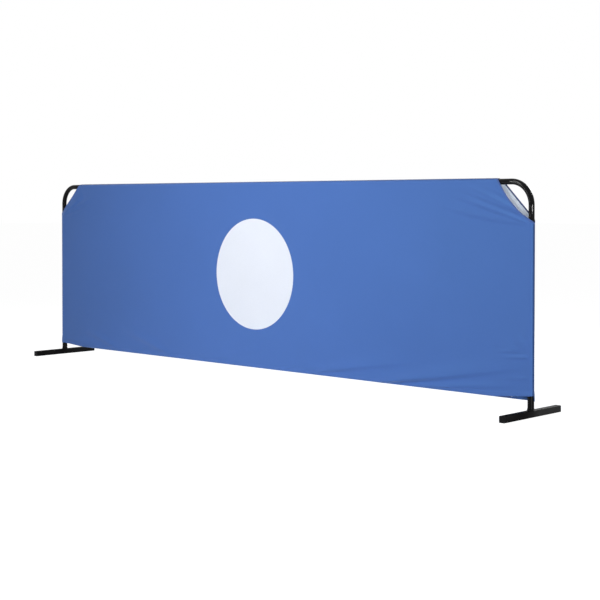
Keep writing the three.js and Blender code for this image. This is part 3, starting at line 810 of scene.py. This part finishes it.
FLAP_END_GAP = 75 * MM
FLAP_HALF = BARRIER_LENGTH / 2 - FLAP_END_GAP
FLAP_OVER_HEM = 1.6 * MM
FLAP_BOTTOM = HEM_AT_POST - HEM_DIP + HEM_RISE[-1] + FLAP_OVER_HEM
FLAP_TAPE_WIDTH = 12 * MM
FLAP_TAPE_THICKNESS = 1 * MM
FLAP_TAPE_EDGE = 0.3 * MM
FLAP_THICKNESS = 0.8 * MM
FLAP_DEPTH = CLOTH_INNER - CLOTH_PLAY
FLAP_STEPS = 60
FLAP_CORNER = 4 * MM
FLAP_CORNER_CUT = 1 * MM

# The flap hangs a little unevenly: how far, how high this reaches, and two waves along it (radians a metre)
FLAP_WAVE = 0.5 * MM
FLAP_WAVE_HEIGHT = 6 * MM
FLAP_WAVES = (31, 11)


def flap():
    """The strip from the back layer, led round under the rail and up to its tape."""
    back, front = FLAP_DEPTH, -(FLAP_DEPTH - 2 * FLAP_TAPE_THICKNESS)
    path = [(back, FLAP_TAPE_WIDTH), (back, FLAP_CORNER), (back - FLAP_CORNER_CUT, FLAP_CORNER_CUT),
            (back - FLAP_CORNER, 0), (front + FLAP_CORNER, 0), (front + FLAP_CORNER_CUT, FLAP_CORNER_CUT),
            (front, FLAP_CORNER), (front, FLAP_TAPE_WIDTH)]
    bm = bmesh.new()
    verts = [bm.verts.new((-FLAP_HALF, depth, FLAP_BOTTOM + height)) for depth, height in path]
    edges = [bm.edges.new(pair) for pair in zip(verts, verts[1:])]
    for _ in range(FLAP_STEPS):
        edges = drawn_out(bm, edges, 2 * FLAP_HALF / FLAP_STEPS)
    for vert in bm.verts:
        under = 1 - smooth((vert.co.z - FLAP_BOTTOM) / FLAP_WAVE_HEIGHT)
        short, long = math.sin(vert.co.x * FLAP_WAVES[0]), math.sin(vert.co.x * FLAP_WAVES[1] + 1)
        vert.co.z += float(under) * FLAP_WAVE * (1 + short * long)
    laid_out(bm, lambda vert: (vert.co.x, vert.co.y + vert.co.z))
    faces_out(bm)
    piece = finished(bm, "bottom_flap", [cloth_back_face, cloth_inside], "frame", CLOTH_CREASE,
                     ["closing_flap"])
    return thickened(piece, "cloth thickness", FLAP_THICKNESS, material_offset=1)


def bevelled(bm, edges, radius, steps):
    bmesh.ops.bevel(bm, geom=edges, offset=radius, offset_type="OFFSET", segments=steps, profile=0.5,
                    affect="EDGES", material=-1)


def tape_strip(name, outer, material, node):
    bm = bmesh.new()
    made = bmesh.ops.create_cube(bm, size=1)["verts"]
    bmesh.ops.scale(bm, verts=made, vec=(2 * FLAP_HALF, FLAP_TAPE_THICKNESS, FLAP_TAPE_WIDTH))
    bevelled(bm, bm.edges[:], FLAP_TAPE_EDGE, 2)
    moved(bm, bm.verts, 0, -outer + FLAP_TAPE_THICKNESS / 2, FLAP_BOTTOM + FLAP_TAPE_WIDTH / 2)
    return finished(bm, name, [material], "frame", TAPE_CREASE, [node])


bottom_flap = flap()
loop_strip = tape_strip("flap_loop_tape", FLAP_DEPTH, loop_pile, "loop_tape")
hook_strip = tape_strip("flap_hook_tape", FLAP_DEPTH - FLAP_TAPE_THICKNESS, hook_pile, "hook_tape")

# Posts and rails


def tube_piece(bm, name, node):
    faces_out(bm)
    piece = finished(bm, name, [gloss_black], "frame", TUBE_CREASE, [node])
    return thickened(piece, "tube wall", TUBE_WALL)


def tube_end(bm):
    return bmesh.ops.create_circle(bm, segments=TUBE_SIDES, radius=TUBE_RADIUS, cap_ends=False)["verts"]


def post(hand, side):
    """A post, the bend at its top and the short arm that meets the top rail."""
    low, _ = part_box(f"{hand}_upright")
    bend_start = RAIL_HEIGHT - BEND_RADIUS
    bm = bmesh.new()
    moved(bm, tube_end(bm), side * POST_PLACE, 0, low.z)
    end = drawn_out(bm, bm.edges[:], z=bend_start - low.z)
    bent = bmesh.ops.spin(bm, geom=end, cent=(side * (POST_PLACE - BEND_RADIUS), 0, bend_start),
                          axis=(0, -side, 0), angle=math.pi / 2, steps=BEND_STEPS, use_merge=False)
    end = [part for part in bent["geom_last"] if isinstance(part, bmesh.types.BMEdge)]
    drawn_out(bm, end, -side * ARM_STRAIGHT)
    return tube_piece(bm, f"{hand}_post", f"{hand}_upright")


def level_tube(name, node):
    low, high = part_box(node)
    bm = bmesh.new()
    circle = tube_end(bm)
    turned(bm, circle, math.pi / 2, "Y")
    moved(bm, circle, low.x, 0, (low.z + high.z) / 2)
    drawn_out(bm, bm.edges[:], high.x - low.x)
    return tube_piece(bm, name, node)


for hand, side in SIDES:
    post(hand, side)
level_tube("top_tube", "top_rail")
level_tube("bottom_tube", "lower_rail")

# Turned and moulded pieces round the posts


def spun(bm, profile, closed, steps):
    """Spins a profile of (radius, height) points once round the Z axis."""
    verts = [bm.verts.new((radius, 0, height)) for radius, height in profile]
    after = verts[1:] + verts[:1] if closed else verts[1:]
    edges = [bm.edges.new(pair) for pair in zip(verts, after)]
    bmesh.ops.spin(bm, geom=verts + edges, cent=(0, 0, 0), axis=(0, 0, 1), angle=2 * math.pi,
                   steps=steps, use_merge=True)
    welded(bm)
    faces_out(bm)


def ring_piece(profile, place, name, material, body, node):
    bm = bmesh.new()
    spun(bm, profile, True, TUBE_SIDES)
    moved(bm, bm.verts, *place)
    finished(bm, name, [material], body, MOULDED_CREASE, [node])


ROUND_STEPS = 3
ROUND_MOST = 0.45


def rounded(corners, radius):
    """A closed profile with its corners rounded off, over a part of each side at most."""
    points = []
    for before, here, after in zip(corners[-1:] + corners[:-1], corners, corners[1:] + corners[:1]):
        here, legs = Vector(here), [Vector(before) - Vector(here), Vector(after) - Vector(here)]
        cut = min(radius, ROUND_MOST * legs[0].length, ROUND_MOST * legs[1].length)
        start, end = (here + leg.normalized() * cut for leg in legs)
        for step in range(ROUND_STEPS + 1):
            share = step / ROUND_STEPS
            bend = (1 - share) ** 2 * start + 2 * share * (1 - share) * here + share ** 2 * end
            points.append(tuple(bend))
    return points


COLLAR_PLAY = 0.15 * MM
COLLAR_WALL = 0.75 * MM
COLLAR_RIM = 1 * MM
COLLAR_RIM_HEIGHT = 3 * MM
COLLAR_EDGE = 0.3 * MM


def collar(hand, side):
    low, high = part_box(f"{hand}_collar")
    inner = TUBE_RADIUS + COLLAR_PLAY
    outer = inner + COLLAR_WALL
    height = high.z - low.z
    profile = rounded([
        (inner, 0), (outer + COLLAR_RIM, 0), (outer + COLLAR_RIM, COLLAR_RIM_HEIGHT),
        (outer, COLLAR_RIM_HEIGHT + COLLAR_RIM), (outer, height), (inner, height),
    ], COLLAR_EDGE)
    ring_piece(profile, (side * POST_PLACE, 0, low.z), f"{hand}_post_collar", sleeve_plastic,
               "frame", f"{hand}_collar")


WASHER_BORE = 7.8 * MM
WASHER_EDGE = 0.35 * MM


def washer(hand, side):
    low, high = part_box(f"{hand}_foot_washer")
    outer = (high.x - low.x) / 2
    thick = high.z - low.z
    profile = rounded([
        (WASHER_BORE, 0), (outer, 0), (outer, thick / 2), (outer - thick / 2, thick), (WASHER_BORE, thick),
    ], WASHER_EDGE)
    ring_piece(profile, (side * POST_PLACE, 0, low.z), f"{hand}_bearing_washer", washer_nylon,
               f"{hand}_foot", f"{hand}_foot_washer")


SCREW_SIDES = 24
SCREW_SHANK = 2 * MM
SCREW_TIP = 0.4 * MM
SCREW_HEAD_HEIGHT = 2.4 * MM

# Outline of the button head under its flat top: radius and height over its seat
BUTTON_HEAD = [(3.5 * MM, 0), (3.5 * MM, 0.9 * MM), (3.2 * MM, 1.6 * MM), (2.5 * MM, 2.15 * MM)]
BUTTON_TOP = 1.8 * MM
RECESS = 1.35 * MM
RECESS_DEPTH = 1.3 * MM
RECESS_POINT = 1.5 * MM
RECESS_FLAT = 0.95


def stop_bolt(hand, side):
    """Button-head screw with a hexagon recess. It points back out of the collar."""
    low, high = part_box(f"{hand}_stop_screw")
    length = high.y - low.y
    seat = length - SCREW_HEAD_HEIGHT
    profile = [(0, 0), (SCREW_SHANK - SCREW_TIP, 0), (SCREW_SHANK, SCREW_TIP), (SCREW_SHANK, seat)]
    profile += [(radius, seat + height) for radius, height in BUTTON_HEAD]
    profile += [(BUTTON_TOP, length), (RECESS, length), (RECESS, length - RECESS_DEPTH),
                (0, length - RECESS_POINT)]
    bm = bmesh.new()
    spun(bm, profile, False, SCREW_SIDES)
    for vert in bm.verts:
        reach = math.hypot(vert.co.x, vert.co.y)
        if abs(reach - RECESS) < SAME_POINT:
            turn = math.atan2(vert.co.y, vert.co.x) % (math.pi / 3) - math.pi / 6
            vert.co.x *= RECESS_FLAT / math.cos(turn)
            vert.co.y *= RECESS_FLAT / math.cos(turn)
    turned(bm, bm.verts, -math.pi / 2, "X")
    moved(bm, bm.verts, side * POST_PLACE, low.y, (low.z + high.z) / 2)
    finished(bm, f"{hand}_stop_bolt", [zinc], "frame", SCREW_CREASE, [f"{hand}_stop_screw"])


FOOT_WALL = 1.5 * MM
FOOT_CORNER = 2 * MM
FOOT_CORNER_STEPS = 6


def foot_tube(hand):
    """Square tube with rolled corners, open at both ends where its plugs go in."""
    low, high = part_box(f"{hand}_foot_bar")
    size = high - low
    bm = bmesh.new()
    made = bmesh.ops.create_cube(bm, size=1)["verts"]
    bmesh.ops.scale(bm, verts=made, vec=size)
    ends = [face for face in bm.faces if abs(face.normal.y) > 0.9]
    bmesh.ops.delete(bm, geom=ends, context="FACES_ONLY")
    long_edges = [edge for edge in bm.edges if abs(edge.verts[0].co.y - edge.verts[1].co.y) > size.y / 2]
    bevelled(bm, long_edges, FOOT_CORNER, FOOT_CORNER_STEPS)
    moved(bm, bm.verts, *((low + high) / 2))
    faces_out(bm)
    tube = finished(bm, f"{hand}_foot_tube", [satin_black], f"{hand}_foot", MOULDED_CREASE,
                    [f"{hand}_foot_bar"])
    thickened(tube, "tube wall", FOOT_WALL)


PLUG_PLAY = 0.3 * MM
PLUG_FLANGE = 3 * MM
PLUG_CORNER_STEPS = 5
STEM_CORNER = 1.2 * MM

# The stem's tapered start: how far inside the stem's outline, the radius of its corners, and its length
STEM_START = (0.6 * MM, 0.8 * MM, 0.8 * MM)

# The flange's soft edge and sunk face: how far inside the bar's outline each stage is, the radius of its
# corners, and how far it lies below the plug's end
FLANGE_STAGES = [(0, 2 * MM, 0.8 * MM), (0.25 * MM, 1.9 * MM, 0.25 * MM), (0.8 * MM, 1.6 * MM, 0),
                 (2.8 * MM, 1.2 * MM, 0), (3.2 * MM, 1 * MM, 0.5 * MM)]


def soft_square(half, corner):
    """Outline of a square with rounded corners, as (x, z) points."""
    points = []
    for quarter in range(4):
        for step in range(PLUG_CORNER_STEPS + 1):
            turn = math.pi / 2 * (quarter + step / PLUG_CORNER_STEPS)
            middle = math.pi / 2 * (quarter + 0.5)
            away = math.sqrt(2) * (half - corner)
            points.append((away * math.cos(middle) + corner * math.cos(turn),
                           away * math.sin(middle) + corner * math.sin(turn)))
    return points


def bearing(x, y):
    return math.atan2(y, x) % (2 * math.pi)


def end_plug(hand, side, facing):
    """Moulded plug: a stem in the bar, and a flange as large as the bar with soft edges and a sunk face."""
    word = "front" if facing < 0 else "back"
    low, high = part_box(f"{hand}_{word}_cap")
    half = (high.x - low.x) / 2
    length = high.y - low.y
    stem = half - FOOT_WALL - PLUG_PLAY
    flange = length - PLUG_FLANGE
    taper, start_corner, start_length = STEM_START
    stages = [(stem - taper, start_corner, 0), (stem, STEM_CORNER, start_length),
              (stem, STEM_CORNER, flange), (half, FOOT_CORNER, flange)]
    stages += [(half - inside, corner, length - below) for inside, corner, below in FLANGE_STAGES]
    bm = bmesh.new()
    bmesh.ops.create_circle(bm, cap_ends=True, segments=4 * (PLUG_CORNER_STEPS + 1), radius=half)
    ring, end = list(bm.verts), bm.faces[:]
    for stage, (reach, corner, height) in enumerate(stages):
        if stage:
            end = bmesh.ops.extrude_discrete_faces(bm, faces=end)["faces"]
            ring = list(end[0].verts)
        ring.sort(key=lambda vert: bearing(vert.co.x, vert.co.y))
        shape = sorted(soft_square(reach, corner), key=lambda point: bearing(*point))
        for vert, (x, y) in zip(ring, shape):
            vert.co = (x, y, height)
    turned(bm, bm.verts, -facing * math.pi / 2, "X")
    inner = high.y if facing < 0 else low.y
    moved(bm, bm.verts, side * POST_PLACE, inner, (low.z + high.z) / 2)
    faces_out(bm)
    finished(bm, f"{hand}_{word}_foot_plug", [black_plastic], f"{hand}_foot", MOULDED_CREASE,
             [f"{hand}_{word}_cap"])


for hand, side in SIDES:
    collar(hand, side)
    washer(hand, side)
    stop_bolt(hand, side)
    foot_tube(hand)
    end_plug(hand, side, -1)
    end_plug(hand, side, 1)

# CAD nodes that stay: they are inside the frame, and get their own finish

for name, node in frame["nodes"].items():
    if any(word in name for word in ("connector", "screw", "spigot")):
        node.data.materials.clear()
        node.data.materials.append(zinc)

# Floor, light and camera

FLOOR_SIZE = 60.0
FLOOR_SQUARES = 8
FLOOR_GREY = (0.66, 0.66, 0.66, 1)
SHOWN_GREY = (0.45, 0.45, 0.45)
SHOWN_GLOW = 0.945
WORLD_LIGHT = 0.14
ZENITH_LIGHT = 0.07


def floor():
    """A matt floor that looks white to the camera, and keeps the shadows that fall on it."""
    finish = Finish("white floor")
    speck = finish.between(finish.noise(finish.place(), scale=3), low=0.985, high=1.0)
    matt = finish.add("BsdfDiffuse", {"Color": FLOOR_GREY})
    shown = finish.add("BsdfDiffuse", {"Color": finish.toned(SHOWN_GREY, speck)})
    lit = finish.add("Emission", {"Color": (1, 1, 1, 1), "Strength": SHOWN_GLOW})
    both = finish.add("AddShader", {0: shown.outputs[0], 1: lit.outputs[0]})
    mixed = finish.add("MixShader", {0: finish.seen(), 1: matt.outputs[0], 2: both.outputs[0]})
    finish.links.new(mixed.outputs[0], finish.nodes["Material Output"].inputs["Surface"])
    finish.nodes.remove(finish.shader)
    bm = bmesh.new()
    bmesh.ops.create_grid(bm, x_segments=FLOOR_SQUARES, y_segments=FLOOR_SQUARES, size=FLOOR_SIZE / 2)
    mesh = bpy.data.meshes.new("floor")
    bm.to_mesh(mesh)
    bm.free()
    mesh.materials.append(finish.material)
    plane = bpy.data.objects.new("floor", mesh)
    bpy.context.scene.collection.objects.link(plane)


def world():
    """A dim even light that is white to the camera, and a little weaker from straight above."""
    sky = bpy.data.worlds.new("studio")
    bpy.context.scene.world = sky
    sky.use_nodes = True
    tree = Nodes(sky.node_tree)
    height = tree.add("SeparateXYZ", {0: tree.add("TexCoord").outputs["Generated"]}).outputs[2]
    light = tree.between(height, WORLD_LIGHT, ZENITH_LIGHT)
    strength = tree.add("Mix", {MIX_SHARE: tree.seen(), MIX_LOW: light, MIX_HIGH: 1.0}).outputs[0]
    back = tree.nodes["Background"]
    back.inputs["Color"].default_value = (1, 1, 1, 1)
    tree.links.new(strength, back.inputs["Strength"])


def lamp(name, place, target, width, height, radiance, spread=180):
    """A rectangular lamp that the camera doesn't see. spread is in degrees."""
    light = bpy.data.lights.new(name, "AREA")
    light.shape = "RECTANGLE"
    light.size = width
    light.size_y = height
    light.energy = radiance * math.pi * width * height
    light.spread = math.radians(spread)
    holder = bpy.data.objects.new(name, light)
    holder.location = place
    holder.rotation_euler = (Vector(target) - Vector(place)).to_track_quat("-Z", "Y").to_euler()
    holder.visible_camera = False
    bpy.context.scene.collection.objects.link(holder)


CAMERA_PLACE = (3.3308, -3.1992, 0.6298)
CAMERA_YAW = math.radians(44.275)
CAMERA_PITCH = math.radians(1.1965)
CAMERA_ROLL = math.radians(0.0265)
CAMERA_LENS = 78.27
CAMERA_SENSOR = 36.0
CAMERA_SHIFT = -0.11776


def camera():
    """The photograph's viewpoint, fitted to the edges of the frame, the cover and the feet."""
    level = math.cos(CAMERA_PITCH)
    ahead = Vector((-math.sin(CAMERA_YAW) * level, math.cos(CAMERA_YAW) * level, -math.sin(CAMERA_PITCH)))
    right = Vector((math.cos(CAMERA_YAW), math.sin(CAMERA_YAW), 0))
    up = right.cross(ahead)
    level_right = right * math.cos(CAMERA_ROLL) + up * math.sin(CAMERA_ROLL)
    level_up = -right * math.sin(CAMERA_ROLL) + up * math.cos(CAMERA_ROLL)
    data = bpy.data.cameras.new("camera")
    data.lens = CAMERA_LENS
    data.sensor_width = CAMERA_SENSOR
    data.shift_y = CAMERA_SHIFT
    data.clip_start = 0.05
    data.clip_end = 200.0
    holder = bpy.data.objects.new("camera", data)
    turn = Matrix((level_right, level_up, -ahead)).transposed().to_4x4()
    holder.matrix_world = Matrix.Translation(CAMERA_PLACE) @ turn
    bpy.context.scene.collection.objects.link(holder)
    bpy.context.scene.camera = holder


floor()
world()
lamp("front softbox", place=(0.10, -1.96, 1.84), target=(0.05, 0, 0.18), width=0.60, height=0.75,
     radiance=9.5, spread=110)
lamp("left strip", place=(-0.49, -2.19, 0.56), target=(0.6, 0, 0.6), width=0.06, height=0.6,
     radiance=62.0)
lamp("right strip", place=(4.17, -1.77, 0.6), target=(1.15, 0, 0.5), width=0.5, height=0.24,
     radiance=165.0)
lamp("back softbox", place=(0.7, 2.5, 1.5), target=(0, 0, 0.3), width=0.8, height=0.6,
     radiance=12.0, spread=120)
camera()
bpy.context.scene.view_settings.view_transform = "Standard"
